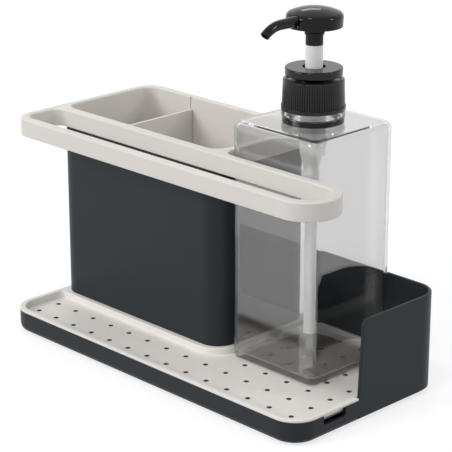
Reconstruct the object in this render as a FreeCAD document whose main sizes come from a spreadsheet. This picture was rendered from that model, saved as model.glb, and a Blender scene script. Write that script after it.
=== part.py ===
import FreeCAD, Part
import math
import os
from types import SimpleNamespace

import Sketcher
from FreeCAD import Vector

# Sink caddy: a catch basin with a corner guard, a perforated drip tray, a divided
# pot with a cloth rail, and a square bottle with a lotion pump.
# X runs along the caddy, Y to the back, Z up. The origin is on the ground, under
# the middle of the basin. All lengths are millimetres.

# Driving dimensions: name, value, meaning
SIZES = (
    ("base_length", 240.0, "basin, over all"),
    ("base_width", 117.6, "basin, front to back"),
    ("base_corner", 15.0, "basin, upright corner radius"),
    ("base_floor", 2.4, "basin floor"),
    ("base_wall", 2.0, "basin and guard wall"),
    ("base_wall_top", 13.7, "height of the basin wall's top edge"),
    ("base_bottom_round", 4.5, "round under the basin's outer edge"),
    ("guard_top", 59.4, "height of the corner guard"),
    ("guard_depth", 68.0, "guard along the right end, from the back"),
    ("guard_run", 95.0, "guard along the back, from the right end"),
    ("guard_lean", 2.4, "guard's front edge leans back by this"),
    ("guard_corner", 4.0, "round on the guard's two free corners"),
    ("guard_edge", 0.7, "round along the guard's top edge"),
    ("notch_width", 17.3, "pouring notch in the right end"),
    ("notch_depth", 5.6, "pouring notch, below the wall's top edge"),
    ("notch_offset", 28.6, "pouring notch, in front of the middle"),
    ("notch_corner", 1.6, "pouring notch, lower corner radius"),
    ("rib_thick", 1.6, "tray support ribs inside the basin"),
    ("rib_reach", 3.0, "tray support ribs, out from the wall"),
    ("rib_spread", 76.0, "ribs on the long walls, from the middle"),
    ("rib_step", 14.0, "ribs on the short walls, from the middle"),
    ("foot_diameter", 12.0, "rubber foot"),
    ("foot_height", 2.0, "rubber foot, whole thickness"),
    ("foot_recess", 1.4, "rubber foot, depth in the basin's underside"),
    ("foot_inset", 17.0, "rubber foot centre, in from the basin's sides"),
    ("tray_gap", 0.3, "drip tray to basin and guard walls"),
    ("tray_wall", 1.3, "drip tray wall"),
    ("tray_flange", 1.4, "drip tray rim on the basin's wall"),
    ("tray_recess", 4.0, "drip tray floor below its rim"),
    ("tray_floor", 1.2, "drip tray floor thickness"),
    ("tray_corner", 2.5, "recess corners beside the pot's seat"),
    ("tray_edge", 0.6, "round along the drip tray's rim"),
    ("hole_diameter", 3.0, "drain hole"),
    ("hole_left_inset", 12.0, "first drain hole column, in from the basin's left side"),
    ("hole_right_inset", 15.5, "last drain hole column, in from the basin's right side"),
    ("hole_edge_inset", 12.9, "outer drain hole rows, in from the basin's long sides"),
    ("hole_margin", 16.7, "first drain hole column beside the pot, from its seat"),
    ("hole_rows", 7.0, "drain hole rows, front to back"),
    ("hole_columns", 14.0, "drain hole columns along the front"),
    ("hole_columns_right", 5.0, "drain hole columns beside the pot"),
    ("pot_inset", 0.7, "pot's left and back sides, in from the basin's"),
    ("bottle_bay", 100.8, "basin right of the pot, for the bottle and a sponge"),
    ("pot_setback", 41.2, "pot's front side, behind the basin's front"),
    ("pot_height", 107.5, "pot, seat to upper edge"),
    ("pot_corner", 12.5, "pot, upright corner radius"),
    ("pot_wall", 1.8, "pot wall"),
    ("pot_floor", 1.8, "pot floor"),
    ("pot_ledge", 3.2, "drip tray's seat shows this much round the pot"),
    ("pot_foot_inset", 4.0, "pot's foot ring, in from its sides"),
    ("pot_foot_gap", 0.3, "pot's foot ring in the tray's socket"),
    ("rim_height", 10.4, "insert's rim and rail, top to bottom"),
    ("rim_overhang", 1.8, "insert's rim past the pot's right side"),
    ("rim_corner", 12.0, "insert's rim, upright corner radius"),
    ("rim_edge", 1.0, "round along the rim and rail's edges"),
    ("liner_gap", 0.4, "liner inside the pot"),
    ("liner_wall", 1.4, "liner wall"),
    ("liner_floor", 1.6, "liner floor"),
    ("rail_setback", 7.2, "rail's front face, behind the basin's front"),
    ("rail_bar", 5.9, "rail's front bar"),
    ("rail_end_bar", 5.6, "rail's round end"),
    ("rail_left_bar", 4.4, "rail's left end"),
    ("rail_corner", 12.5, "rail's front left corner"),
    ("end_flat", 0.4, "half of the flat in the round ends of rail and slot"),
    ("slot_corner", 8.0, "cloth slot's left corners"),
    ("bar_lip", 2.5, "bar behind the cloth slot, out from the pot's front"),
    ("back_bar", 5.4, "bar behind the cloth slot"),
    ("bar_fillet", 7.0, "inner corner between the bar and the rim"),
    ("left_bay", 37.0, "liner's left compartment"),
    ("divider_thick", 1.8, "divider plate"),
    ("divider_drop", 8.2, "divider's top edge below the rim"),
    ("groove_depth", 0.5, "divider grooves in the liner"),
    ("groove_gap", 0.25, "divider in its grooves"),
    ("pot_gap", 5.4, "bottle, from the pot's right side"),
    ("bottle_back_gap", 7.6, "bottle, in from the basin's back"),
    ("bottle_front_gap", 1.5, "bottle, behind the bar of the rail"),
    ("bottle_height", 140.9, "bottle, foot to shoulder"),
    ("bottle_corner", 6.0, "bottle, upright edges"),
    ("bottle_wall", 1.6, "bottle wall"),
    ("bottle_base", 4.0, "bottle base"),
    ("bottle_shoulder", 2.0, "bottle shoulder thickness"),
    ("bottle_round", 4.0, "round at the bottle's shoulder and foot"),
    ("neck_diameter", 29.6, "bottle neck"),
    ("neck_bore", 24.0, "bottle neck bore"),
    ("neck_height", 18.1, "bottle neck above the shoulder"),
    ("bead_diameter", 35.2, "clear bead on the neck"),
    ("bead_low", 3.1, "clear bead's lower face above the shoulder"),
    ("bead_thick", 3.7, "clear bead"),
    ("ring_diameter", 34.4, "black ring under the bead"),
    ("ring_gap", 0.15, "black ring round the neck"),
    ("closure_gap", 0.3, "closure above the bead"),
    ("closure_height", 17.1, "screw closure"),
    ("closure_top_diameter", 33.8, "screw closure at its top"),
    ("closure_low_diameter", 34.8, "screw closure at its bead"),
    ("closure_bead", 1.9, "smooth bead at the closure's foot"),
    ("closure_bead_out", 0.45, "closure's bead stands out by this"),
    ("closure_clear", 0.35, "closure's bore round the neck"),
    ("closure_web", 2.2, "closure's top web"),
    ("closure_play", 0.1, "closure's web over the pump's flange"),
    ("closure_lip", 2.0, "closure's upper lip, width"),
    ("closure_bevel", 0.8, "bevel on the closure's upper edge"),
    ("rib_count", 80.0, "grip ribs round the closure"),
    ("rib_groove", 0.36, "depth of the grooves between grip ribs"),
    ("gasket_thick", 1.2, "neck gasket"),
    ("flange_thick", 1.6, "pump housing's flange"),
    ("flange_diameter", 28.0, "pump housing's flange and gasket"),
    ("barrel_diameter", 14.0, "pump housing's barrel"),
    ("barrel_bore", 11.4, "pump housing's bore"),
    ("chamber_depth", 36.6, "floor of the pump chamber, below the neck's top"),
    ("barrel_floor", 7.0, "pump chamber's floor, with the ball's chamber"),
    ("seat_thick", 1.5, "inlet seat under the ball's chamber"),
    ("tail_diameter", 9.6, "housing's tail round the dip tube"),
    ("tail_length", 11.0, "housing's tail"),
    ("collar_neck_diameter", 16.0, "housing's upper neck"),
    ("collar_neck_height", 2.2, "housing's upper neck above its flange"),
    ("inlet_diameter", 3.2, "inlet seat bore"),
    ("cage_diameter", 5.2, "ball chamber"),
    ("ball_diameter", 4.2, "inlet ball"),
    ("ball_clear", 0.05, "ball above its seat at rest"),
    ("retainer_thick", 1.4, "ball retainer disc"),
    ("retainer_hole", 1.0, "flow holes in the ball retainer"),
    ("fit_gap", 0.1, "sliding and push fits, on the radius"),
    ("tube_diameter", 7.0, "dip tube"),
    ("tube_bore", 5.0, "dip tube bore"),
    ("tube_clear", 11.9, "dip tube's lower end, above the bottle's base"),
    ("disc_diameter", 31.8, "collar disc"),
    ("disc_thick", 4.5, "collar disc"),
    ("disc_lift", 1.6, "collar disc above the closure's lip"),
    ("disc_hole", 12.9, "recess round the stem in the collar disc"),
    ("disc_recess", 5.5, "depth of that recess"),
    ("disc_guide_gap", 0.35, "stem in the collar disc's guide"),
    ("disc_edge", 0.8, "round on the collar disc"),
    ("hub_diameter", 20.0, "collar disc's hub through the closure"),
    ("hub_gap", 0.3, "hub in the closure's hole"),
    ("stem_diameter", 9.7, "pump stem"),
    ("stem_bore", 5.0, "pump stem's bore"),
    ("stem_show", 12.2, "stem between the collar disc and the head's neck"),
    ("stem_spigot", 7.0, "stem's upper spigot, in the head's neck"),
    ("spigot_length", 9.0, "stem's upper spigot"),
    ("stop_thick", 2.0, "stop ring on the stem, under the collar disc"),
    ("stop_gap", 0.2, "stop ring below the collar disc"),
    ("piston_height", 7.0, "piston"),
    ("piston_waist", 9.8, "piston between its lips"),
    ("piston_lip", 1.4, "piston lip"),
    ("piston_spigot", 7.4, "stem's lower spigot in the piston"),
    ("piston_drop", 4.5, "piston's top below the stop ring"),
    ("plug_flange", 1.5, "outlet plug's flange"),
    ("plug_flange_diameter", 9.4, "outlet plug's flange"),
    ("plug_length", 5.0, "outlet plug inside the stem"),
    ("wire_diameter", 0.9, "return spring wire"),
    ("spring_diameter", 8.6, "return spring, mean"),
    ("spring_turns", 6.0, "return spring turns"),
    ("spring_gap", 0.1, "return spring's ends at rest"),
    ("head_diameter", 31.6, "pump head"),
    ("head_skirt", 6.9, "pump head's side"),
    ("head_dome", 3.8, "pump head's dome"),
    ("head_wall", 2.0, "pump head's shell"),
    ("head_round", 3.0, "round between the dome and the side"),
    ("head_taper", 0.4, "pump head's side draws in by this"),
    ("head_neck_diameter", 9.8, "pump head's neck"),
    ("head_neck_show", 10.2, "pump head's neck below the head"),
    ("neck_flare", 0.6, "ring on the pump head's neck, out by this"),
    ("neck_flare_drop", 3.2, "ring on the neck, below the head"),
    ("neck_flare_height", 1.2, "ring on the pump head's neck"),
    ("spout_diameter", 6.4, "spout, at the head"),
    ("spout_tip_diameter", 5.2, "spout, at its tip"),
    ("spout_bore", 3.4, "spout bore"),
    ("spout_rise", 4.6, "spout axis above the head's lower edge"),
    ("spout_straight", 26.4, "spout's straight stretch, from the axis"),
    ("spout_root", 2.2, "spout's inner end, from the axis"),
    ("spout_bend", 18.6, "radius of the spout's bend"),
    ("spout_angle", 40.0, "spout's bend in degrees"),
)

# Drain hole rows, counted from the middle to the back: along the front, and beside the pot
FRONT_ROWS = (-3, -2)
RIGHT_ROWS = (-1, 0, 1, 2, 3)

# Lengths that differ by less than this are equal
TOLERANCE = 1e-4

doc = FreeCAD.newDocument("sink_caddy")


class Size:
    """A length with its value and the formula that a feature is bound to."""

    def __init__(self, value, formula):
        self.value = value
        self.formula = formula

    def combined(self, sign, other, value):
        return Size(value, "(%s %s %s)" % (self.formula, sign, as_size(other).formula))

    def __add__(self, other):
        return self.combined("+", other, self.value + as_size(other).value)

    def __sub__(self, other):
        return self.combined("-", other, self.value - as_size(other).value)

    def __mul__(self, other):
        return self.combined("*", other, self.value * as_size(other).value)

    def __truediv__(self, other):
        return self.combined("/", other, self.value / as_size(other).value)

    def __neg__(self):
        return Size(-self.value, "(-1 * %s)" % self.formula)

    def root(self):
        return Size(math.sqrt(self.value), "sqrt(%s)" % self.formula)


def as_size(amount):
    """Any number as a Size."""
    if isinstance(amount, Size):
        return amount
    return Size(float(amount), repr(float(amount)))


def fill_sheet():
    """Put the driving dimensions in a spreadsheet, and give them back as Sizes."""
    sheet = doc.addObject("Spreadsheet::Sheet", "Sizes")
    named = {}
    for row, (name, value, meaning) in enumerate(SIZES, start=1):
        sheet.set("A%d" % row, meaning)
        sheet.set("B%d" % row, str(value))
        sheet.setAlias("B%d" % row, name)
        named[name] = Size(value, "Sizes." + name)
    doc.recompute()
    return SimpleNamespace(**named)


size = fill_sheet()

# Heights that several pieces share
basin_underside = size.foot_height - size.foot_recess
basin_floor_top = basin_underside + size.base_floor
tray_rim_top = size.base_wall_top + size.tray_flange
tray_floor_top = tray_rim_top - size.tray_recess
tray_underside = tray_floor_top - size.tray_floor
pot_top = tray_rim_top + size.pot_height
rim_top = pot_top + size.rim_height
shoulder_top = tray_floor_top + size.bottle_height
neck_top = shoulder_top + size.neck_height
barrel_low = neck_top - size.chamber_depth
tube_low = tray_floor_top + size.bottle_base + size.tube_clear
bead_top = shoulder_top + size.bead_low + size.bead_thick
closure_foot = bead_top + size.closure_gap
closure_top = closure_foot + size.closure_height
flange_foot = neck_top + size.gasket_thick
flange_top = flange_foot + size.flange_thick
disc_foot = closure_top + size.disc_lift
disc_top = disc_foot + size.disc_thick
guide_top = disc_top - size.disc_recess
guide_foot = flange_top + size.collar_neck_height + size.fit_gap
stop_top = guide_foot - size.stop_gap
piston_top = stop_top - size.stop_thick - size.piston_drop
piston_foot = piston_top - size.piston_height
plug_foot = piston_foot - size.plug_flange - size.fit_gap
retainer_top = barrel_low + size.retainer_thick
stem_top = disc_top + size.stem_show
head_foot = stem_top + size.head_neck_show
head_edge = head_foot + size.head_skirt
spout_height = head_foot + size.spout_rise

# Plan positions that several pieces share
base_right = size.base_length / 2
base_back = size.base_width / 2
guard_front = base_back - size.guard_depth
guard_left = base_right - size.guard_run
tray_out = size.base_wall + size.tray_gap
tray_in = tray_out + size.tray_wall
pot_left = size.pot_inset - base_right
pot_right = base_right - size.bottle_bay
pot_back = base_back - size.pot_inset
pot_front = size.pot_setback - base_back
seat_front = pot_front - size.pot_ledge
seat_right = pot_right + size.pot_ledge
liner_out = size.pot_wall + size.liner_gap
liner_in = liner_out + size.liner_wall
divider_left = pot_left + liner_in + size.left_bay
divider_right = divider_left + size.divider_thick
rail_front = size.rail_setback - base_back
slot_front = rail_front + size.rail_bar
slot_back = pot_front - size.bar_lip
bar_back = slot_back + size.back_bar
bottle_back = base_back - size.bottle_back_gap
bottle_side = bottle_back - bar_back - size.bottle_front_gap
bottle_x = pot_right + size.pot_gap + bottle_side / 2
bottle_y = bottle_back - bottle_side / 2


def bind(thing, path, amount):
    """Tie one property of a document object to the sheet."""
    thing.setExpression(path, as_size(amount).formula)


def new_body(label):
    """A sub-part, named by its label."""
    body = doc.addObject("PartDesign::Body", label)
    body.Label = label
    return body


def new_sketch(body, plane, name, offset=0):
    """A sketch on one of the body's origin planes, moved along the plane's normal."""
    sketch = body.newObject("Sketcher::SketchObject", name)
    support = [feature for feature in body.Origin.OriginFeatures if feature.Role == plane]
    sketch.AttachmentSupport = [(support[0], "")]
    sketch.MapMode = "FlatFace"
    bind(sketch, ".AttachmentOffset.Base.z", offset)
    return sketch


def pin(sketch, geometry, position, x, y):
    """Tie one point of a sketch to its place."""
    for kind, axis, amount in (("DistanceX", -2, x), ("DistanceY", -1, y)):
        if amount == 0:
            sketch.addConstraint(Sketcher.Constraint("PointOnObject", geometry, position, axis))
            continue
        value = as_size(amount).value
        rule = Sketcher.Constraint(kind, -1, 1, geometry, position, value)
        bind(sketch, "Constraints[%d]" % sketch.addConstraint(rule), amount)


def rounded(before, corner, after, radius):
    """Where an arc of this radius leaves the two sides of a corner, and its centre."""
    back = (before - corner).normalize()
    ahead = (after - corner).normalize()
    half = back.getAngle(ahead) / 2
    reach = radius / math.tan(half)
    centre = corner + (back + ahead).normalize() * (radius / math.sin(half))
    return corner + back * reach, corner + ahead * reach, centre


def outline(sketch, corners):
    """A closed outline through the corners, each (x, y) or (x, y, radius)."""
    count = len(corners)
    spots = [Vector(as_size(c[0]).value, as_size(c[1]).value, 0) for c in corners]
    leave = []
    reach = []
    centres = []
    for index, corner in enumerate(corners):
        arrive, depart, centre = spots[index], spots[index], None
        if len(corner) == 3:
            before, after = spots[index - 1], spots[(index + 1) % count]
            arrive, depart, centre = rounded(before, spots[index], after, as_size(corner[2]).value)
        reach.append(arrive)
        leave.append(depart)
        centres.append(centre)
    sides = []
    for index in range(count):
        side = Part.LineSegment(leave[index], reach[(index + 1) % count])
        sides.append(sketch.addGeometry(side, False))
    for index, corner in enumerate(corners):
        before, after = sides[index - 1], sides[index]
        if centres[index] is None:
            sketch.addConstraint(Sketcher.Constraint("Coincident", before, 2, after, 1))
            pin(sketch, after, 1, corner[0], corner[1])
        else:
            round_corner(sketch, before, after, reach[index], leave[index], centres[index], corner)


def round_corner(sketch, before, after, arrive, depart, centre, corner):
    """An arc tangent to two sides, held by their virtual corner and its radius."""
    start, end = arrive - centre, depart - centre
    left_turn = start.cross(end).z > 0
    if not left_turn:
        start, end = end, start
    circle = Part.Circle(centre, Vector(0, 0, 1), as_size(corner[2]).value)
    angles = [math.atan2(way.y, way.x) for way in (start, end)]
    if angles[1] < angles[0]:
        angles[1] += 2 * math.pi
    arc = sketch.addGeometry(Part.ArcOfCircle(circle, angles[0], angles[1]), False)
    first, last = (1, 2) if left_turn else (2, 1)
    sketch.addConstraint(Sketcher.Constraint("Tangent", before, 2, arc, first))
    sketch.addConstraint(Sketcher.Constraint("Tangent", after, 1, arc, last))
    rule = Sketcher.Constraint("Radius", arc, as_size(corner[2]).value)
    bind(sketch, "Constraints[%d]" % sketch.addConstraint(rule), corner[2])
    spot = Vector(as_size(corner[0]).value, as_size(corner[1]).value, 0)
    point = sketch.addGeometry(Part.Point(spot), True)
    sketch.addConstraint(Sketcher.Constraint("PointOnObject", point, 1, before))
    sketch.addConstraint(Sketcher.Constraint("PointOnObject", point, 1, after))
    pin(sketch, point, 1, corner[0], corner[1])


def rectangle(sketch, left, front, right, back, radius=None):
    """A rectangle between two corners, with equal rounds if a radius is given."""
    corners = ((left, front), (right, front), (right, back), (left, back))
    if radius is not None:
        corners = [corner + (radius,) for corner in corners]
    outline(sketch, corners)


def circle(sketch, x, y, diameter):
    """A circle held by its centre and diameter."""
    middle = Vector(as_size(x).value, as_size(y).value, 0)
    value = as_size(diameter).value
    ring = sketch.addGeometry(Part.Circle(middle, Vector(0, 0, 1), value / 2), False)
    rule = Sketcher.Constraint("Diameter", ring, value)
    bind(sketch, "Constraints[%d]" % sketch.addConstraint(rule), diameter)
    pin(sketch, ring, 3, x, y)


def pad(body, sketch, length):
    """Raise a sketch along its plane's normal."""
    feature = body.newObject("PartDesign::Pad", sketch.Name + "_pad")
    feature.Profile = sketch
    bind(feature, "Length", length)
    return feature


def pocket(body, sketch, depth):
    """Cut a sketch into the body, against its plane's normal."""
    doc.recompute()
    before = body.Shape.Volume
    feature = body.newObject("PartDesign::Pocket", sketch.Name + "_pocket")
    feature.Profile = sketch
    bind(feature, "Length", depth)
    doc.recompute()
    if body.Shape.Volume >= before:
        raise RuntimeError("%s cuts nothing" % feature.Name)
    return feature


def revolve(body, sketch):
    """Turn a sketch round its vertical axis."""
    feature = body.newObject("PartDesign::Revolution", sketch.Name + "_turned")
    feature.Profile = sketch
    feature.ReferenceAxis = (sketch, ["V_Axis"])
    feature.Angle = 360
    return feature


def turned(label, corners):
    """A sub-part turned from one half section, on the bottle's axis."""
    body = new_body(label)
    sketch = new_sketch(body, "XZ_Plane", label + "_section")
    outline(sketch, corners)
    revolve(body, sketch)
    on_bottle_axis(body)
    return body


def on_bottle_axis(body):
    """Stand a sub-part on the bottle's axis."""
    bind(body, ".Placement.Base.x", bottle_x)
    bind(body, ".Placement.Base.y", bottle_y)


def fillet(body, base, radius, chosen, name):
    """Round the chosen edges of the last feature."""
    doc.recompute()
    edges = base.Shape.Edges
    names = ["Edge%d" % (index + 1) for index, edge in enumerate(edges) if chosen(edge)]
    if not names:
        raise RuntimeError("%s finds no edge" % name)
    feature = body.newObject("PartDesign::Fillet", name)
    feature.Base = (base, names)
    bind(feature, "Radius", radius)
    return feature


def near(first, second):
    """Two lengths that agree."""
    return abs(first - second) < TOLERANCE


def level_at(height):
    """A test for edges that lie flat at this height."""
    wanted = as_size(height).value

    def lies_flat(edge):
        box = edge.BoundBox
        return near(box.ZMin, wanted) and near(box.ZMax, wanted)

    return lies_flat


def pattern(body, feature, direction, length, count):
    """Repeat a feature along a direction over a length."""
    copies = body.newObject("PartDesign::LinearPattern", feature.Name + "_row")
    copies.Originals = [feature]
    copies.Direction = direction
    bind(copies, "Length", length)
    bind(copies, "Occurrences", count)
    body.Tip = copies
    return copies


def base_tray():
    """Catch basin with the tall corner guard, the pouring notch and the tray's ribs."""
    body = new_body("base_tray")
    plan = new_sketch(body, "XY_Plane", "basin_plan", basin_underside)
    rectangle(plan, -base_right, -base_back, base_right, base_back, size.base_corner)
    shell = pad(body, plan, size.base_wall_top - basin_underside)
    fillet(body, shell, size.base_bottom_round, level_at(basin_underside), "basin_bottom_round")
    inside = new_sketch(body, "XY_Plane", "basin_inside", size.base_wall_top)
    across, along = base_right - size.base_wall, base_back - size.base_wall
    rectangle(inside, -across, -along, across, along, size.base_corner - size.base_wall)
    pocket(body, inside, size.base_wall_top - basin_floor_top)
    ribs = new_sketch(body, "XY_Plane", "tray_ribs", basin_floor_top)
    half = size.rib_thick / 2
    tuck = size.base_wall / 2
    for side in (-1, 1):
        for place in (-1, 1):
            middle = size.rib_spread * place
            ends = sorted_pair((along + tuck) * side, (along - size.rib_reach) * side)
            rectangle(ribs, middle - half, ends[0], middle + half, ends[1])
            middle = size.rib_step * place
            ends = sorted_pair((across + tuck) * side, (across - size.rib_reach) * side)
            rectangle(ribs, ends[0], middle - half, ends[1], middle + half)
    pad(body, ribs, tray_underside - basin_floor_top)
    guard(body, across, along)
    notch = new_sketch(body, "YZ_Plane", "pouring_notch", base_right + size.base_wall)
    low = size.base_wall_top - size.notch_depth
    near_edge = -size.notch_offset - size.notch_width / 2
    far_edge = near_edge + size.notch_width
    above = size.base_wall_top + size.base_wall
    outline(notch, (
        (near_edge, low, size.notch_corner), (far_edge, low, size.notch_corner),
        (far_edge, above), (near_edge, above)))
    pocket(body, notch, size.base_wall * 3)
    recesses = new_sketch(body, "XY_Plane", "foot_recesses", basin_underside + size.foot_recess)
    for x, y in foot_places():
        circle(recesses, x, y, size.foot_diameter + size.fit_gap * 2)
    pocket(body, recesses, size.foot_recess * 2)
    return body


def sorted_pair(first, second):
    """Two Sizes in rising order."""
    return sorted((first, second), key=lambda amount: amount.value)


def guard(body, across, along):
    """The tall wall round the right back corner, with a leaning front edge."""
    plan = new_sketch(body, "XY_Plane", "guard_plan", basin_floor_top)
    outline(plan, (
        (base_right, guard_front), (base_right, base_back, size.base_corner),
        (guard_left, base_back), (guard_left, along),
        (across, along, size.base_corner - size.base_wall), (across, guard_front)))
    pad(body, plan, size.guard_top - basin_floor_top)
    slope = new_sketch(body, "YZ_Plane", "guard_slope", base_right + size.base_wall)
    front = guard_front - size.base_wall
    above = size.guard_top + size.base_wall
    outline(slope, (
        (front, size.base_wall_top), (guard_front, size.base_wall_top),
        (guard_front + size.guard_lean, size.guard_top),
        (guard_front + size.guard_lean, above), (front, above)))
    cut = pocket(body, slope, size.base_wall * 3)
    top = size.guard_top.value
    lean = (guard_front + size.guard_lean).value

    def free_corner(edge):
        box = edge.BoundBox
        at_front = near(box.YMin, lean) and near(box.YMax, lean)
        at_left = near(box.XMin, guard_left.value) and near(box.XMax, guard_left.value)
        return (at_front or at_left) and near(box.ZMin, top) and near(box.ZMax, top)

    corners = fillet(body, cut, size.guard_corner, free_corner, "guard_corners")
    fillet(body, corners, size.guard_edge, level_at(size.guard_top), "guard_top_edge")


def foot_places():
    """Centres of the four feet."""
    x = base_right - size.foot_inset
    y = base_back - size.foot_inset
    return ((-x, -y), (x, -y), (-x, y), (x, y))


def rubber_feet():
    """Four round pads in the basin's underside."""
    body = new_body("rubber_feet")
    plan = new_sketch(body, "XY_Plane", "foot_plan")
    for x, y in foot_places():
        circle(plan, x, y, size.foot_diameter)
    pad(body, plan, size.foot_height)
    return body


def drip_tray():
    """Perforated tray: rim on the basin's wall, sunk floor and the pot's raised seat."""
    body = new_body("drip_tray")
    plan = new_sketch(body, "XY_Plane", "tray_plan", tray_underside)
    across, along = base_right - tray_out, base_back - tray_out
    rectangle(plan, -across, -along, across, along, size.base_corner - tray_out)
    pad(body, plan, tray_rim_top - tray_underside)
    rim = new_sketch(body, "XY_Plane", "tray_rim", size.base_wall_top)
    stop = guard_front - size.tray_gap
    side = guard_left - size.tray_gap
    outline(rim, (
        (-base_right, -base_back, size.base_corner), (base_right, -base_back, size.base_corner),
        (base_right, stop), (across, stop),
        (across, along, size.base_corner - tray_out), (side, along),
        (side, base_back), (-base_right, base_back, size.base_corner)))
    pad(body, rim, size.tray_flange)
    recess = new_sketch(body, "XY_Plane", "tray_recess", tray_rim_top)
    across, along = base_right - tray_in, base_back - tray_in
    round_in = size.base_corner - tray_in
    outline(recess, (
        (-across, -along, round_in), (across, -along, round_in), (across, along, round_in),
        (seat_right, along, size.tray_corner),
        (seat_right, seat_front, size.pot_corner + size.pot_ledge),
        (-across, seat_front, size.tray_corner)))
    sunk = pocket(body, recess, size.tray_recess)
    fillet(body, sunk, size.tray_edge, level_at(tray_rim_top), "tray_rim_edges")
    socket = new_sketch(body, "XY_Plane", "pot_socket", tray_rim_top)
    inset = size.pot_foot_inset - size.pot_foot_gap
    rectangle(socket, pot_left + inset, pot_front + inset, pot_right - inset, pot_back - inset,
              size.pot_corner - inset)
    pocket(body, socket, size.tray_recess)
    first = size.hole_left_inset - base_right
    drain_holes(body, "front_holes", first, FRONT_ROWS, size.hole_columns)
    first = seat_right + size.hole_margin
    drain_holes(body, "right_holes", first, RIGHT_ROWS, size.hole_columns_right)
    return body


def drain_holes(body, name, first, rows, count):
    """Rows of drain holes, repeated along the tray as far as its last column."""
    sketch = new_sketch(body, "XY_Plane", name, tray_rim_top)
    step = (size.base_width - size.hole_edge_inset * 2) / (size.hole_rows - 1)
    for row in rows:
        circle(sketch, first, step * row if row else 0, size.hole_diameter)
    holes = pocket(body, sketch, size.tray_recess + size.tray_floor * 2)
    last = base_right - size.hole_right_inset
    pattern(body, holes, (sketch, ["H_Axis"]), last - first, count)


def canister():
    """The dark pot, standing on the tray's seat with a foot ring in its socket."""
    body = new_body("canister")
    plan = new_sketch(body, "XY_Plane", "pot_plan", tray_rim_top)
    rectangle(plan, pot_left, pot_front, pot_right, pot_back, size.pot_corner)
    pad(body, plan, size.pot_height)
    inside = new_sketch(body, "XY_Plane", "pot_inside", pot_top)
    wall = size.pot_wall
    rectangle(inside, pot_left + wall, pot_front + wall, pot_right - wall, pot_back - wall,
              size.pot_corner - wall)
    pocket(body, inside, size.pot_height - size.pot_floor)
    ring = new_sketch(body, "XY_Plane", "pot_foot_ring", tray_floor_top + size.pot_foot_gap)
    for inset in (size.pot_foot_inset, size.pot_foot_inset + wall):
        rectangle(ring, pot_left + inset, pot_front + inset, pot_right - inset, pot_back - inset,
                  size.pot_corner - inset)
    pad(body, ring, size.tray_recess - size.pot_foot_gap)
    return body


def rail_insert():
    """Light insert: liner, rim on the pot's upper edge and the cloth rail in front."""
    body = new_body("rail_insert")
    plan = new_sketch(body, "XY_Plane", "rim_plan", pot_top)
    end = (bar_back - rail_front) / 2 - size.end_flat
    rim_right = pot_right + size.rim_overhang
    outline(plan, (
        (-base_right, rail_front, size.rail_corner), (base_right, rail_front, end),
        (base_right, bar_back, end), (rim_right, bar_back, size.bar_fillet),
        (rim_right, base_back, size.rim_corner), (-base_right, base_back, size.rim_corner)))
    slot_right = base_right - size.rail_end_bar
    slot_left = size.rail_left_bar - base_right
    end = (slot_back - slot_front) / 2 - size.end_flat
    outline(plan, (
        (slot_left, slot_front, size.slot_corner), (slot_right, slot_front, end),
        (slot_right, slot_back, end), (slot_left, slot_back, size.slot_corner)))
    rim = pad(body, plan, size.rim_height)
    fillet(body, rim, size.rim_edge, level_at(rim_top), "rim_top_edges")
    cup = new_sketch(body, "XY_Plane", "liner_plan", liner_foot())
    liner_rectangle(cup, liner_out)
    pad(body, cup, pot_top - liner_foot())
    hollow = new_sketch(body, "XY_Plane", "liner_hollow", rim_top)
    liner_rectangle(hollow, liner_in)
    opened = pocket(body, hollow, rim_top - liner_foot() - size.liner_floor)
    left, right = (pot_left + liner_in).value, (pot_right - liner_in).value
    front, back = (pot_front + liner_in).value, (pot_back - liner_in).value

    def mouth(edge):
        box = edge.BoundBox
        inside = box.XMin > left - TOLERANCE and box.XMax < right + TOLERANCE
        inside = inside and box.YMin > front - TOLERANCE and box.YMax < back + TOLERANCE
        return inside and level_at(rim_top)(edge)

    fillet(body, opened, size.rim_edge, mouth, "liner_mouth_edge")
    grooves = new_sketch(body, "XY_Plane", "divider_grooves", rim_top)
    slack = size.groove_gap
    for wall, side in ((pot_front + liner_in, -1), (pot_back - liner_in, 1)):
        ends = sorted_pair(wall + size.groove_depth * side, wall - size.groove_depth * side)
        rectangle(grooves, divider_left - slack, ends[0], divider_right + slack, ends[1])
    pocket(body, grooves, rim_top - liner_foot() - size.liner_floor)
    return body


def liner_foot():
    """Height of the liner's underside."""
    return tray_rim_top + size.pot_floor + size.liner_gap


def liner_rectangle(sketch, inset):
    """The pot's plan, drawn in by an inset."""
    rectangle(sketch, pot_left + inset, pot_front + inset, pot_right - inset, pot_back - inset,
              size.pot_corner - inset)


def divider():
    """Drop-in plate between the liner's two compartments."""
    body = new_body("divider")
    plan = new_sketch(body, "XY_Plane", "divider_plan", liner_foot() + size.liner_floor)
    reach = size.groove_depth - size.groove_gap
    rectangle(plan, divider_left, pot_front + liner_in - reach,
              divider_right, pot_back - liner_in + reach)
    pad(body, plan, rim_top - size.divider_drop - liner_foot() - size.liner_floor)
    return body


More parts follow.
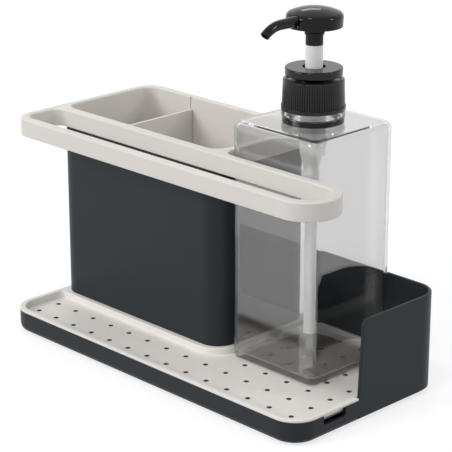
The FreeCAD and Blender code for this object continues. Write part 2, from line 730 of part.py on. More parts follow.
def bottle():
    """Clear square bottle with a thick base, a flat shoulder and a beaded neck."""
    body = new_body("bottle")
    half = bottle_side / 2
    plan = new_sketch(body, "XY_Plane", "bottle_plan", tray_floor_top)
    rectangle(plan, -half, -half, half, half, size.bottle_corner)
    block = pad(body, plan, size.bottle_height)

    def ends(edge):
        return level_at(tray_floor_top)(edge) or level_at(shoulder_top)(edge)

    fillet(body, block, size.bottle_round, ends, "bottle_rounds")
    neck = new_sketch(body, "XZ_Plane", "neck_section")
    outline(neck, (
        (0, shoulder_top - size.bottle_shoulder / 2),
        (size.neck_diameter / 2, shoulder_top - size.bottle_shoulder / 2),
        (size.neck_diameter / 2, shoulder_top + size.bead_low),
        (size.bead_diameter / 2, shoulder_top + size.bead_low),
        (size.bead_diameter / 2, bead_top), (size.neck_diameter / 2, bead_top),
        (size.neck_diameter / 2, neck_top), (0, neck_top)))
    revolve(body, neck)
    mouth = new_sketch(body, "XY_Plane", "neck_mouth", neck_top)
    circle(mouth, 0, 0, size.neck_bore)
    pocket(body, mouth, size.neck_height + size.bottle_shoulder * 2)
    hollow_bottle(body)
    on_bottle_axis(body)
    return body


def hollow_bottle(body):
    """Take the inside out of the bottle, rounded as its outside is."""
    inner = bottle_side / 2 - size.bottle_wall
    ceiling = shoulder_top - size.bottle_shoulder
    floor = tray_floor_top + size.bottle_base
    plan = new_sketch(body, "XY_Plane", "bottle_inside", ceiling)
    rectangle(plan, -inner, -inner, inner, inner, size.bottle_corner - size.bottle_wall)
    hollow = pocket(body, plan, ceiling - floor)
    bore = size.neck_bore.value / 2

    def wall_ends(edge):
        box = edge.BoundBox
        beside_neck = max(-box.XMin, box.XMax, -box.YMin, box.YMax) > bore + TOLERANCE
        return beside_neck and (level_at(ceiling)(edge) or level_at(floor)(edge))

    fillet(body, hollow, size.bottle_round - size.bottle_wall, wall_ends, "inside_rounds")


def neck_ring():
    """Black ring round the foot of the bottle's neck."""
    bore = size.neck_diameter / 2 + size.ring_gap
    top = shoulder_top + size.bead_low
    return turned("neck_ring", (
        (bore, shoulder_top), (size.ring_diameter / 2, shoulder_top),
        (size.ring_diameter / 2, top), (bore, top)))


def closure():
    """Ribbed screw closure: tapered side, bead at its foot, web over the pump's flange."""
    bore = size.neck_diameter / 2 + size.closure_clear
    low = size.closure_low_diameter / 2
    bead = low + size.closure_bead_out
    top = size.closure_top_diameter / 2
    hole = size.hub_diameter / 2 + size.hub_gap
    web_foot = flange_top + size.closure_play
    web_top = web_foot + size.closure_web
    lip = top - size.closure_lip
    body = turned("closure", (
        (bore, closure_foot), (bead, closure_foot), (bead, closure_foot + size.closure_bead),
        (low, closure_foot + size.closure_bead), (top, closure_top - size.closure_bevel),
        (top - size.closure_bevel, closure_top), (lip, closure_top), (lip, web_top),
        (hole, web_top), (hole, web_foot), (bore, web_foot)))
    grooves = new_sketch(body, "XY_Plane", "grip_groove", closure_top)
    edge = low + size.rib_groove
    half = size.rib_groove
    outline(grooves, ((top - size.rib_groove, 0), (edge, -half), (edge, half)))
    depth = closure_top - closure_foot - size.closure_bead
    cut = pocket(body, grooves, depth)
    around = body.newObject("PartDesign::PolarPattern", "grip_ribs")
    around.Originals = [cut]
    around.Axis = (grooves, ["N_Axis"])
    around.Angle = 360
    bind(around, "Occurrences", size.rib_count)
    body.Tip = around
    return body


def neck_gasket():
    """Flat ring between the bottle's neck and the pump's flange."""
    bore = size.barrel_diameter / 2 + size.fit_gap
    rim = size.flange_diameter / 2
    return turned("neck_gasket", (
        (bore, neck_top), (rim, neck_top), (rim, flange_foot), (bore, flange_foot)))


def pump_housing():
    """Pump cylinder: flange on the gasket, barrel, inlet seat and tail for the dip tube."""
    outer = size.barrel_diameter / 2
    bore = size.barrel_bore / 2
    tail = size.tail_diameter / 2
    socket = size.tube_diameter / 2 + size.fit_gap
    seat = barrel_low - size.barrel_floor
    chamber_floor = seat + size.seat_thick
    tail_foot = seat - size.tail_length
    neck = size.collar_neck_diameter / 2
    neck_end = flange_top + size.collar_neck_height
    return turned("pump_housing", (
        (size.inlet_diameter / 2, seat), (socket, seat), (socket, tail_foot), (tail, tail_foot),
        (tail, seat), (outer, barrel_low), (outer, flange_foot),
        (size.flange_diameter / 2, flange_foot), (size.flange_diameter / 2, flange_top),
        (neck, flange_top), (neck, neck_end), (bore, neck_end), (bore, barrel_low),
        (size.cage_diameter / 2, barrel_low), (size.cage_diameter / 2, chamber_floor),
        (size.inlet_diameter / 2, chamber_floor)))


def dip_tube():
    """Tube from the housing's tail to near the bottle's base."""
    outer = size.tube_diameter / 2
    bore = size.tube_bore / 2
    top = barrel_low - size.barrel_floor
    return turned("dip_tube", (
        (bore, tube_low), (outer, tube_low), (outer, top), (bore, top)))


def inlet_ball():
    """Steel ball that closes the pump's inlet."""
    ball = doc.addObject("Part::Sphere", "inlet_ball")
    ball.Label = "inlet_ball"
    radius = size.ball_diameter / 2
    seat = barrel_low - size.barrel_floor + size.seat_thick
    reach = (radius * radius - size.inlet_diameter * size.inlet_diameter / 4).root()
    bind(ball, "Radius", radius)
    bind(ball, ".Placement.Base.z", seat + reach + size.ball_clear)
    on_bottle_axis(ball)
    return ball


def ball_retainer():
    """Perforated disc over the ball, and the return spring's lower seat."""
    rim = size.barrel_bore / 2 - size.fit_gap
    body = turned("ball_retainer", (
        (0, barrel_low), (rim, barrel_low), (rim, retainer_top), (0, retainer_top)))
    holes = new_sketch(body, "XY_Plane", "retainer_holes", retainer_top)
    middle = size.cage_diameter / 4
    for x, y in ((middle, 0), (-middle, 0), (0, middle), (0, -middle)):
        circle(holes, x, y, size.retainer_hole)
    pocket(body, holes, size.retainer_thick * 2)
    return body


def return_spring():
    """Wire spring between the ball retainer and the outlet plug, as one round tube."""
    wire = size.wire_diameter.value
    mean = size.spring_diameter.value / 2
    turns = size.spring_turns.value
    low = (retainer_top + size.spring_gap).value + wire / 2
    high = (plug_foot - size.spring_gap).value - wire / 2
    quarters = int(round(turns * 4))

    def along(quarter):
        angle = quarter * math.pi / 2
        height = low + (high - low) * quarter / quarters
        return Vector(mean * math.cos(angle), mean * math.sin(angle), height)

    arcs = [Part.Arc(along(step), along(step + 0.5), along(step + 1)).toShape()
            for step in range(quarters)]
    path = Part.Wire(arcs)
    start = arcs[0].tangentAt(arcs[0].FirstParameter)
    section = Part.Wire(Part.Circle(along(0), start, wire / 2).toShape())
    shell = Part.BRepOffsetAPI.MakePipeShell(path)
    shell.add(section)
    shell.build()
    shell.makeSolid()
    gap = (high - low) / turns - wire
    print("return_spring: least gap between turns %.2f mm" % gap)
    spring = doc.addObject("Part::Feature", "return_spring")
    spring.Label = "return_spring"
    spring.Shape = shell.shape()
    on_bottle_axis(spring)
    return spring


def piston():
    """Piston with two sealing lips, on the stem's lower spigot."""
    bore = size.piston_spigot / 2 + size.fit_gap
    lip = size.barrel_bore / 2 - size.fit_gap
    waist = size.piston_waist / 2
    return turned("piston", (
        (bore, piston_foot), (lip, piston_foot), (lip, piston_foot + size.piston_lip),
        (waist, piston_foot + size.piston_lip * 2), (waist, piston_top - size.piston_lip * 2),
        (lip, piston_top - size.piston_lip), (lip, piston_top), (bore, piston_top)))


def outlet_plug():
    """Plug in the stem's lower end: holds the piston, and the spring bears on it."""
    spigot = size.stem_bore / 2 - size.fit_gap
    rim = size.plug_flange_diameter / 2
    shelf = plug_foot + size.plug_flange
    top = shelf + size.plug_length
    return turned("outlet_plug", (
        (0, plug_foot), (rim, plug_foot), (rim, shelf), (spigot, shelf), (spigot, top), (0, top)))


def stem():
    """Hollow white stem with a stop ring under the collar disc and a spigot at each end."""
    bore = size.stem_bore / 2
    rod = size.stem_diameter / 2
    stop = size.barrel_bore / 2 - size.fit_gap * 2
    low = size.piston_spigot / 2
    high = size.stem_spigot / 2
    return turned("stem", (
        (bore, piston_foot), (low, piston_foot), (low, piston_top), (rod, piston_top),
        (rod, stop_top - size.stop_thick), (stop, stop_top - size.stop_thick),
        (stop, stop_top), (rod, stop_top), (rod, stem_top), (high, stem_top),
        (high, stem_top + size.spigot_length), (bore, stem_top + size.spigot_length)))


def collar_disc():
    """Flat disc on the closure, with a hub on the housing's neck and a recess for the stem."""
    guide = size.stem_diameter / 2 + size.disc_guide_gap
    socket = size.collar_neck_diameter / 2 + size.fit_gap
    hub = size.hub_diameter / 2
    rim = size.disc_diameter / 2
    return turned("collar_disc", (
        (guide, guide_foot), (socket, guide_foot), (socket, flange_top), (hub, flange_top),
        (hub, disc_foot), (rim, disc_foot, size.disc_edge), (rim, disc_top, size.disc_edge),
        (size.disc_hole / 2, disc_top), (size.disc_hole / 2, guide_top), (guide, guide_top)))


def pump_head():
    """Domed push head: a shell with a central neck that takes the stem and the spout."""
    body = new_body("pump_head")
    sketch = new_sketch(body, "XZ_Plane", "head_section")
    side = size.head_diameter / 2
    foot = side - size.head_taper
    neck = size.head_neck_diameter / 2
    flare = neck + size.neck_flare
    flare_top = head_foot - size.neck_flare_drop
    flare_foot = flare_top - size.neck_flare_height
    bore = size.stem_spigot / 2 + size.fit_gap
    duct = size.stem_bore / 2
    bore_top = stem_top + size.spigot_length + size.fit_gap
    inside = foot - size.head_wall
    ceiling = head_edge - size.head_wall
    dome_top = head_edge + size.head_dome
    corners = (
        (0, spout_height), (duct, spout_height), (duct, bore_top), (bore, bore_top),
        (bore, stem_top), (neck, stem_top), (neck, flare_foot), (flare, flare_foot),
        (flare, flare_top), (neck, flare_top), (neck, ceiling), (inside, ceiling),
        (inside, head_foot), (foot, head_foot), (side, head_edge), (0, dome_top))
    domed_outline(sketch, corners, size.head_round)
    revolve(body, sketch)
    hole = new_sketch(body, "XZ_Plane", "spout_hole", side * 2)
    circle(hole, 0, spout_height, size.spout_diameter + size.fit_gap * 2)
    pocket(body, hole, side * 2 - size.spout_root)
    on_bottle_axis(body)
    return body


def domed_outline(sketch, corners, radius):
    """A half section whose last side but one is an arc centred on the axis, with a round before it."""
    spots = [Vector(as_size(x).value, as_size(y).value, 0) for x, y in corners]
    count = len(spots)
    foot, edge, top = spots[-3:]
    rise = top.y - edge.y
    dome = (edge.x ** 2 + rise ** 2) / (2 * rise)
    middle = Vector(0, top.y - dome, 0)
    arrive, depart, centre = rounded_to_dome(foot, edge, middle, radius.value)
    sides = []
    for index in range(count):
        start, end = spots[index], spots[(index + 1) % count]
        if index == count - 2:
            first = math.atan2(depart.y - middle.y, depart.x)
            curve = Part.ArcOfCircle(Part.Circle(middle, Vector(0, 0, 1), dome), first, math.pi / 2)
            sides.append(sketch.addGeometry(curve, False))
            sketch.addConstraint(Sketcher.Constraint("PointOnObject", sides[-1], 3, -2))
        else:
            end = arrive if index == count - 3 else end
            sides.append(sketch.addGeometry(Part.LineSegment(start, end), False))
    for index, (x, y) in enumerate(corners):
        before, after = sides[index - 1], sides[index]
        if index == count - 2:
            round_corner(sketch, before, after, arrive, depart, centre, (x, y, radius))
        else:
            sketch.addConstraint(Sketcher.Constraint("Coincident", before, 2, after, 1))
            pin(sketch, after, 1, x, y)


def rounded_to_dome(foot, edge, middle, radius):
    """Where an arc of this radius leaves a straight side and the dome above it, and its centre."""
    along = (edge - foot).normalize()
    inward = Vector(-along.y, along.x, 0)
    dome = (edge - middle).Length
    start = edge + inward * radius - middle
    reach = start.dot(along)
    back = reach - math.sqrt(reach ** 2 - start.Length ** 2 + (dome - radius) ** 2)
    centre = start - along * back
    return middle + centre - inward * radius, middle + centre * (dome / (dome - radius)), middle + centre


def nozzle():
    """Spout: a tube that leaves the head to the front and bends down at its end."""
    body = new_body("nozzle")
    path = new_sketch(body, "YZ_Plane", "spout_path")
    straight = size.spout_straight.value
    bend = size.spout_bend.value
    height = spout_height.value
    turn = math.radians(size.spout_angle.value)
    start, knee = Vector(-size.spout_root.value, height, 0), Vector(-straight, height, 0)
    run = path.addGeometry(Part.LineSegment(start, knee), False)
    ring = Part.Circle(knee + Vector(0, -bend, 0), Vector(0, 0, 1), bend)
    curve = Part.ArcOfCircle(ring, math.pi / 2, math.pi / 2 + turn)
    arc = path.addGeometry(curve, False)
    pin(path, run, 1, -size.spout_root, spout_height)
    pin(path, run, 2, -size.spout_straight, spout_height)
    path.addConstraint(Sketcher.Constraint("Tangent", run, 2, arc, 1))
    rule = Sketcher.Constraint("Radius", arc, bend)
    bind(path, "Constraints[%d]" % path.addConstraint(rule), size.spout_bend)
    rule = Sketcher.Constraint("Angle", arc, turn)
    index = path.addConstraint(rule)
    path.setExpression("Constraints[%d]" % index, size.spout_angle.formula + " * 1 deg")
    sweep(body, path, "spout_tube", "PartDesign::AdditivePipe", size.spout_diameter,
          size.spout_tip_diameter)
    sweep(body, path, "spout_duct", "PartDesign::SubtractivePipe", size.spout_bore, size.spout_bore)
    on_bottle_axis(body)
    return body


def sweep(body, path, name, kind, root_diameter, tip_diameter):
    """A round section along the spout's path, which changes evenly from root to tip."""
    root = new_sketch(body, "XZ_Plane", name + "_root", size.spout_root)
    circle(root, 0, spout_height, root_diameter)
    tip = body.newObject("Sketcher::SketchObject", name + "_tip")
    tip.AttachmentSupport = [(path, "Edge2")]
    tip.MapMode = "NormalToEdge"
    tip.MapPathParameter = 1.0
    circle(tip, 0, 0, tip_diameter)
    doc.recompute()
    pipe = body.newObject(kind, name)
    pipe.Profile = root
    pipe.Spine = (path, ["Edge1", "Edge2"])
    pipe.Transformation = "Multisection"
    pipe.Sections = [(tip, [""])]
    doc.recompute()


def check(parts):
    """Stop if any object failed or any sub-part has no valid shape."""
    failed = [thing.Name for thing in doc.Objects
              if "Invalid" in thing.State or "Error" in thing.State]
    if failed:
        raise RuntimeError("failed objects: " + ", ".join(failed))
    for part in parts:
        if part.Shape.isNull() or not part.Shape.isValid() or not part.Shape.Solids:
            raise RuntimeError("bad shape: " + part.Label)


def main():
    """Build every sub-part, check it and write it."""
    makers = (
        base_tray, rubber_feet, drip_tray, canister, rail_insert, divider, bottle, neck_ring,
        closure, collar_disc, neck_gasket, pump_housing, ball_retainer, inlet_ball, return_spring,
        piston, outlet_plug, stem, dip_tube, pump_head, nozzle)
    parts = [make() for make in makers]
    doc.recompute()
    check(parts)
    os.makedirs("parts", exist_ok=True)
    for part in parts:
        part.Shape.exportStep("parts/%s.step" % part.Label)
        box = part.Shape.BoundBox
        print("%-14s %d solids, %8.0f mm3, z %.2f to %.2f" % (
            part.Label, len(part.Shape.Solids), part.Shape.Volume, box.ZMin, box.ZMax))


main()
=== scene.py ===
import math

import bpy
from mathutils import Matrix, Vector


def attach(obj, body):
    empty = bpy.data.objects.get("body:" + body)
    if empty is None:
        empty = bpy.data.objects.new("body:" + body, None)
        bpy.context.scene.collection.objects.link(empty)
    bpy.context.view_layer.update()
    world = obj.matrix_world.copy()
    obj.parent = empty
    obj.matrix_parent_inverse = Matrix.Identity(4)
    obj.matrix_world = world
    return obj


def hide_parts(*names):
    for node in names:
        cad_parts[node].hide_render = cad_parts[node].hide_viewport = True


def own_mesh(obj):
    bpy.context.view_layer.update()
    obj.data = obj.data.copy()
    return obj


# Looks of the sink caddy on its CAD frame. Lengths are metres, in the CAD frame:
# X along the caddy, Y to the back, Z up, with the origin on the ground.

# Camera, fitted to the caddy's straight edges
IMAGE_SIDE = 452
CAMERA_AZIMUTH = 45.6
CAMERA_ELEVATION = 19.1
CAMERA_DISTANCE = 1.0
CAMERA_TARGET = Vector((0.0295, -0.0210, 0.0936))
CAMERA_FOCAL_PIXELS = 1807
CAMERA_NEAR = 0.05
CAMERA_FAR = 20.0
SENSOR_WIDTH = 36.0

# Light: what the world gives to matt surfaces, and four soft boxes
WORLD_FILL = 0.55
FLOOR_COLOUR = 0.40
FLOOR_LIFT = 0.70
FLOOR_SIDE = 8.0
SOFT_BOXES = (
    # name, place, aim, width, height, power
    ("front_box", (-1.60, -3.50, 1.90), (0.0, 0.0, 0.09), 2.00, 1.50, 73.0),
    ("right_box", (3.30, 1.80, 2.00), (0.05, 0.0, 0.09), 0.50, 1.60, 26.0),
    ("top_box", (0.30, -1.50, 3.60), (0.0, 0.0, 0.10), 0.70, 0.50, 22.0),
    ("rim_box", (-2.40, 2.40, 2.20), (0.0, 0.0, 0.15), 0.90, 0.50, 4.0),
)

# Colours, as linear red, green and blue
WHITE = (1.0, 1.0, 1.0)
BLACK = (0.0, 0.0, 0.0)
ANTHRACITE = (0.024, 0.030, 0.035)
WARM_GREY = (0.76, 0.73, 0.685)
PALE_GREY = (0.84, 0.81, 0.765)
JET_BLACK = (0.004, 0.004, 0.0042)
MILK_WHITE = (0.76, 0.76, 0.755)
SNOW_WHITE = (0.97, 0.97, 0.965)
# painted shade for the walls of the drain holes
HOLE_SHADE = (0.15, 0.145, 0.135)
CLEAR = (0.80, 0.80, 0.80)
SMOKE = (0.42, 0.42, 0.42)
FOOT_BLACK = (0.02, 0.02, 0.021)
WIRE_STEEL = (0.55, 0.55, 0.56)

# Where noise, which keeps near a half, is given its first and second colour
NOISE_LOW = 0.3
NOISE_HIGH = 0.7

# Moulded plastic: cells of noise in a metre, and the depth of the grain
FLOW_CELLS = 18.0
SPECKLE_CELLS = 1400.0
GRAIN_CELLS = 2600.0
SATIN_CELLS = 300.0
GRAIN_DEPTH = 0.00008
GLOSS_SPREAD = 0.1

# How alike the true and the rounded direction are where an edge is fully rubbed and carries a painted
# highlight, and where it isn't
EDGE_WORN_AND_HIGHLIT = 0.75
EDGE_CLEAN = 0.985
BEVEL_SAMPLES = 6

# Height of the drip tray's floor, below which only its holes show, and how steep their walls are, for
# the painted shade on the hole walls
TRAY_FLOOR_TOP = 0.01108
UPRIGHT = 0.5

# Bottle: the share of the lamps' light that each surface lets through, its bending and mirroring of
# light, how dense its smoke is, and the waves of its blown walls
SHADOW_PASS = 0.70
BODY_BENDING = 1.1
COAT_BENDING = 1.75
BOTTLE_ROUGHNESS = 0.02
SMOKE_DENSITY = 15.0
WAVE_CELLS = 45.0
WAVE_DEPTH = 0.0004

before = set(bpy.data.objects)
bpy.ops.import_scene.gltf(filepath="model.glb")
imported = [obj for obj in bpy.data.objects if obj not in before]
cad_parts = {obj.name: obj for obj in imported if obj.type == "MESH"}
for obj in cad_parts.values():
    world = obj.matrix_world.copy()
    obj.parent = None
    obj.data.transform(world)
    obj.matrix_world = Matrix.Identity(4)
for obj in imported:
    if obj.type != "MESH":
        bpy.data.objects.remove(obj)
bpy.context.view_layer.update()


class Nodes:
    """A node tree, with short ways to add and join nodes."""

    def __init__(self, tree):
        self.tree = tree

    def add(self, kind, **settings):
        node = self.tree.nodes.new(kind)
        for key, value in settings.items():
            setattr(node, key, value)
        return node

    def put(self, value, socket):
        """Set a socket to a plain value, or join another node's output to it."""
        if isinstance(value, bpy.types.NodeSocket):
            self.tree.links.new(value, socket)
        else:
            socket.default_value = value

    def math(self, operation, *values):
        """Arithmetic on outputs and plain numbers."""
        node = self.add("ShaderNodeMath", operation=operation)
        for value, socket in zip(values, node.inputs):
            self.put(value, socket)
        return node.outputs["Value"]

    def height(self, vector):
        """The part of a vector that points up."""
        split = self.add("ShaderNodeSeparateXYZ")
        self.put(vector, split.inputs[0])
        return split.outputs["Z"]


class Finish(Nodes):
    """A material on one shader, with the patterns that finishes are made of."""

    def __init__(self, name):
        self.material = bpy.data.materials.new(name)
        self.material.use_nodes = True
        super().__init__(self.material.node_tree)
        self.shader = self.tree.nodes["Principled BSDF"]

    def give(self, name, value):
        """Set one of the shader's inputs."""
        self.put(value, self.shader.inputs[name])

    def noise(self, cells, detail=2.0, stretch=None):
        """Noise in the CAD frame's coordinates, with this many cells in a metre."""
        place = self.add("ShaderNodeTexCoord")
        noise = self.add("ShaderNodeTexNoise")
        noise.inputs["Scale"].default_value = cells
        noise.inputs["Detail"].default_value = detail
        source = place.outputs["Object"]
        if stretch is not None:
            mapping = self.add("ShaderNodeMapping")
            mapping.inputs["Scale"].default_value = stretch
            self.put(source, mapping.inputs["Vector"])
            source = mapping.outputs["Vector"]
        self.put(source, noise.inputs["Vector"])
        return noise.outputs["Fac"]

    def ramp(self, factor, first, second, low=NOISE_LOW, high=NOISE_HIGH):
        """From the first colour, where the factor is low, to the second, where it is high."""
        ramp = self.add("ShaderNodeValToRGB")
        stops = ((low, first), (high, second))
        for element, (position, colour) in zip(ramp.color_ramp.elements, stops):
            element.position = position
            element.color = (*colour, 1.0)
        self.put(factor, ramp.inputs["Fac"])
        return ramp.outputs["Color"]

    def mix(self, factor, first, second):
        """First where the factor is 0, second where it is 1."""
        mix = self.add("ShaderNodeMix", data_type="RGBA")
        self.put(factor, mix.inputs["Factor"])
        self.put(first, mix.inputs["A"])
        self.put(second, mix.inputs["B"])
        return mix.outputs["Result"]

    def soft_edges(self, radius):
        """The surface's direction with its edges rounded, and how like the true direction it is."""
        bevel = self.add("ShaderNodeBevel", samples=BEVEL_SAMPLES)
        bevel.inputs["Radius"].default_value = radius
        geometry = self.add("ShaderNodeNewGeometry")
        dot = self.add("ShaderNodeVectorMath", operation="DOT_PRODUCT")
        self.put(bevel.outputs["Normal"], dot.inputs[0])
        self.put(geometry.outputs["Normal"], dot.inputs[1])
        return bevel.outputs["Normal"], dot.outputs["Value"]

    def bump(self, height, strength, depth, direction=None):
        """Fine relief from a height, on the rounded direction if one is given."""
        bump = self.add("ShaderNodeBump")
        bump.inputs["Strength"].default_value = strength
        bump.inputs["Distance"].default_value = depth
        self.put(height, bump.inputs["Height"])
        if direction is not None:
            self.put(direction, bump.inputs["Normal"])
        self.give("Normal", bump.outputs["Normal"])


def scaled(colour, amount):
    """A colour made darker or lighter."""
    return tuple(min(1.0, part * amount) for part in colour)


def grey(level):
    """A grey of this level."""
    return (level, level, level)


def moulded(name, colour, roughness, grain, spread, specular=0.5, edge=0.0004, edge_light=1.25,
            grain_cells=GRAIN_CELLS):
    """Moulded plastic: a fine grain, uneven gloss, and edges that are rounded and made lighter, partly
    as rubbed wear and partly as a painted highlight.
    """
    finish = Finish(name)
    flow = finish.noise(FLOW_CELLS, 3.0)
    speckle = finish.noise(SPECKLE_CELLS)
    body = finish.ramp(flow, scaled(colour, 1 - spread), scaled(colour, 1 + spread))
    # paler edges: partly rubbed wear, partly a painted highlight along the edges
    worn_and_highlit = finish.ramp(flow, scaled(colour, edge_light), scaled(colour, edge_light + spread))
    direction, likeness = finish.soft_edges(edge)
    rubbed_and_highlit_edges = finish.ramp(likeness, WHITE, BLACK, EDGE_WORN_AND_HIGHLIT, EDGE_CLEAN)
    finish.give("Base Color", finish.mix(rubbed_and_highlit_edges, body, worn_and_highlit))
    glossy, dull = roughness * (1 - GLOSS_SPREAD), roughness * (1 + GLOSS_SPREAD)
    finish.give("Roughness", finish.ramp(speckle, grey(glossy), grey(dull)))
    finish.give("Specular IOR Level", specular)
    finish.bump(finish.noise(grain_cells, 3.0), grain, GRAIN_DEPTH, direction)
    return finish


def with_painted_hole_shade(finish):
    """Painted shade: darken upright walls below the tray's floor, which are those of its drain holes.
    """
    unshaded = finish.shader.inputs["Base Color"].links[0].from_socket
    place = finish.add("ShaderNodeTexCoord")
    upright = finish.math("COMPARE", finish.height(place.outputs["Normal"]), 0.0, UPRIGHT)
    below = finish.math("LESS_THAN", finish.height(place.outputs["Object"]), TRAY_FLOOR_TOP)
    hole = finish.math("MULTIPLY", upright, below)
    # painted shade on the hole walls, where shadow falls
    finish.give("Base Color", finish.mix(hole, unshaded, (*HOLE_SHADE, 1.0)))
    return finish


def clear_plastic():
    """Smoky clear plastic with the faint waviness of a blown bottle, which lets lamps through."""
    finish = Finish("clear_plastic")
    flow = finish.noise(14.0)
    finish.give("Base Color", finish.ramp(flow, scaled(CLEAR, 0.98), scaled(CLEAR, 1.01)))
    finish.give("Roughness", BOTTLE_ROUGHNESS)
    finish.give("Transmission Weight", 1.0)
    finish.give("IOR", BODY_BENDING)
    finish.give("Coat Weight", 1.0)
    finish.give("Coat IOR", COAT_BENDING)
    finish.give("Coat Roughness", BOTTLE_ROUGHNESS)
    path = finish.add("ShaderNodeLightPath")
    finish.give("Alpha", finish.math("MULTIPLY_ADD", path.outputs["Is Shadow Ray"], -SHADOW_PASS, 1.0))
    smoke = finish.add("ShaderNodeVolumeAbsorption")
    smoke.inputs["Color"].default_value = (*SMOKE, 1.0)
    smoke.inputs["Density"].default_value = SMOKE_DENSITY
    finish.put(smoke.outputs["Volume"], finish.tree.nodes["Material Output"].inputs["Volume"])
    finish.bump(finish.noise(WAVE_CELLS, 1.0), 0.06, WAVE_DEPTH)
    return finish


def milky(name, colour, clearness):
    """Unpigmented pump plastic, which lets this share of the light through."""
    finish = Finish(name)
    flow = finish.noise(60.0)
    finish.give("Base Color", finish.ramp(flow, scaled(colour, 0.98), scaled(colour, 1.01)))
    finish.give("Roughness", 0.32)
    finish.give("Transmission Weight", clearness)
    finish.bump(finish.noise(900.0), 0.05, 0.00005)
    return finish


def drawn_steel():
    """Bright drawn wire and the polished ball."""
    finish = Finish("drawn_steel")
    flow = finish.noise(300.0, 3.0)
    finish.give("Base Color", finish.ramp(flow, scaled(WIRE_STEEL, 0.9), scaled(WIRE_STEEL, 1.1)))
    finish.give("Metallic", 1.0)
    finish.give("Roughness", 0.25)
    finish.bump(finish.noise(4000.0, 1.0, (1.0, 1.0, 0.1)), 0.08, 0.00003)
    return finish


def dress(finish, *names):
    """Give CAD nodes a finish."""
    for name in names:
        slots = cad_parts[name].data.materials
        slots.clear()
        slots.append(finish.material)


def dress_all():
    """Every CAD node gets the finish that the photograph shows, or that such a piece has."""
    dress(moulded("dark_plastic", ANTHRACITE, roughness=0.42, grain=0.05, spread=0.05, specular=0.15,
                  grain_cells=SATIN_CELLS),
          "base_tray", "canister")
    dress(moulded("light_plastic", WARM_GREY, roughness=0.48, grain=0.10, spread=0.02, specular=0.45,
                  edge=0.0006, edge_light=1.06),
          "rail_insert", "divider")
    # the drip tray gets painted shade in its drain holes
    dress(with_painted_hole_shade(moulded("tray_plastic", PALE_GREY, roughness=0.48, grain=0.10, spread=0.02,
                            specular=0.45, edge=0.0006, edge_light=1.04)),
          "drip_tray")
    dress(moulded("black_plastic", JET_BLACK, roughness=0.11, grain=0.0, spread=0.10, specular=0.32,
                  edge=0.0003, edge_light=1.5),
          "neck_ring", "closure", "collar_disc")
    dress(moulded("head_plastic", JET_BLACK, roughness=0.10, grain=0.0, spread=0.10, specular=0.22,
                  edge=0.0003, edge_light=1.5),
          "pump_head", "nozzle")
    dress(moulded("foot_rubber", FOOT_BLACK, roughness=0.75, grain=0.25, spread=0.10), "rubber_feet")
    dress(clear_plastic(), "bottle")
    dress(milky("white_plastic", SNOW_WHITE, clearness=0.0),
          "stem", "piston", "outlet_plug", "neck_gasket", "ball_retainer")
    dress(milky("milky_plastic", MILK_WHITE, clearness=0.15), "pump_housing", "dip_tube")
    dress(drawn_steel(), "return_spring", "inlet_ball")


def make_spring():
    """Return spring in place of the rigid one: a copy that rides with the pump and has a mesh of its
    own.
    """
    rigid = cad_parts["return_spring"]
    spring = bpy.data.objects.new("working_spring", rigid.data.copy())
    bpy.context.scene.collection.objects.link(spring)
    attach(spring, "pump")
    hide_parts("return_spring")
    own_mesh(spring)


def lift_where_seen(nodes, lift):
    """The lift for rays that see the background, and none for those that only bring its light."""
    path = nodes.add("ShaderNodeLightPath")
    seen = path.outputs["Is Camera Ray"]
    for output in ("Is Glossy Ray", "Is Transmission Ray"):
        seen = nodes.math("MAXIMUM", seen, path.outputs[output])
    return nodes.math("MULTIPLY", seen, lift)


def make_world():
    """White where it is seen, and a plain grey fill on matt surfaces."""
    world = bpy.data.worlds.new("studio")
    bpy.context.scene.world = world
    world.use_nodes = True
    nodes = Nodes(world.node_tree)
    background = nodes.tree.nodes["Background"]
    background.inputs["Color"].default_value = (*WHITE, 1.0)
    strength = nodes.math("ADD", lift_where_seen(nodes, 1.0 - WORLD_FILL), WORLD_FILL)
    nodes.put(strength, background.inputs["Strength"])


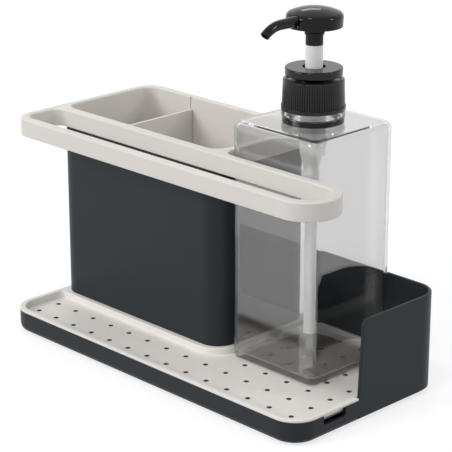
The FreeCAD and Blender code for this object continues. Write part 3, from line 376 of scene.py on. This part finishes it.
def make_floor():
    """Pale floor, lifted to white where it is seen, and keeping the caddy's shadow."""
    half = FLOOR_SIDE / 2
    mesh = bpy.data.meshes.new("floor")
    corners = [(-half, -half, 0), (half, -half, 0), (half, half, 0), (-half, half, 0)]
    mesh.from_pydata(corners, [], [(0, 1, 2, 3)])
    floor = bpy.data.objects.new("floor", mesh)
    bpy.context.scene.collection.objects.link(floor)
    finish = Finish("floor_paper")
    shade = finish.ramp(finish.noise(3.0), grey(FLOOR_COLOUR * 0.99), grey(FLOOR_COLOUR))
    finish.give("Base Color", shade)
    finish.give("Roughness", 0.9)
    finish.give("Specular IOR Level", 0.1)
    finish.give("Emission Color", (*WHITE, 1.0))
    finish.give("Emission Strength", lift_where_seen(finish, FLOOR_LIFT))
    mesh.materials.append(finish.material)


def make_lights():
    """Large soft boxes."""
    for name, place, aim, width, height, power in SOFT_BOXES:
        lamp = bpy.data.lights.new(name, "AREA")
        lamp.shape = "RECTANGLE"
        lamp.size = width
        lamp.size_y = height
        lamp.energy = power
        box = bpy.data.objects.new(name, lamp)
        box.location = place
        box.rotation_euler = (Vector(aim) - Vector(place)).to_track_quat("-Z", "Y").to_euler()
        bpy.context.scene.collection.objects.link(box)


def make_camera():
    """Camera at the photograph's viewing angle."""
    azimuth, elevation = math.radians(CAMERA_AZIMUTH), math.radians(CAMERA_ELEVATION)
    back = Vector((math.sin(azimuth) * math.cos(elevation),
                   -math.cos(azimuth) * math.cos(elevation), math.sin(elevation)))
    data = bpy.data.cameras.new("camera")
    data.sensor_width = SENSOR_WIDTH
    data.lens = CAMERA_FOCAL_PIXELS / IMAGE_SIDE * SENSOR_WIDTH
    data.clip_start = CAMERA_NEAR
    data.clip_end = CAMERA_FAR
    camera = bpy.data.objects.new("camera", data)
    camera.location = CAMERA_TARGET + back * CAMERA_DISTANCE
    camera.rotation_euler = (-back).to_track_quat("-Z", "Y").to_euler()
    bpy.context.scene.collection.objects.link(camera)
    bpy.context.scene.camera = camera


bpy.context.scene.view_settings.view_transform = "Standard"
dress_all()
make_spring()
make_world()
make_floor()
make_lights()
make_camera()
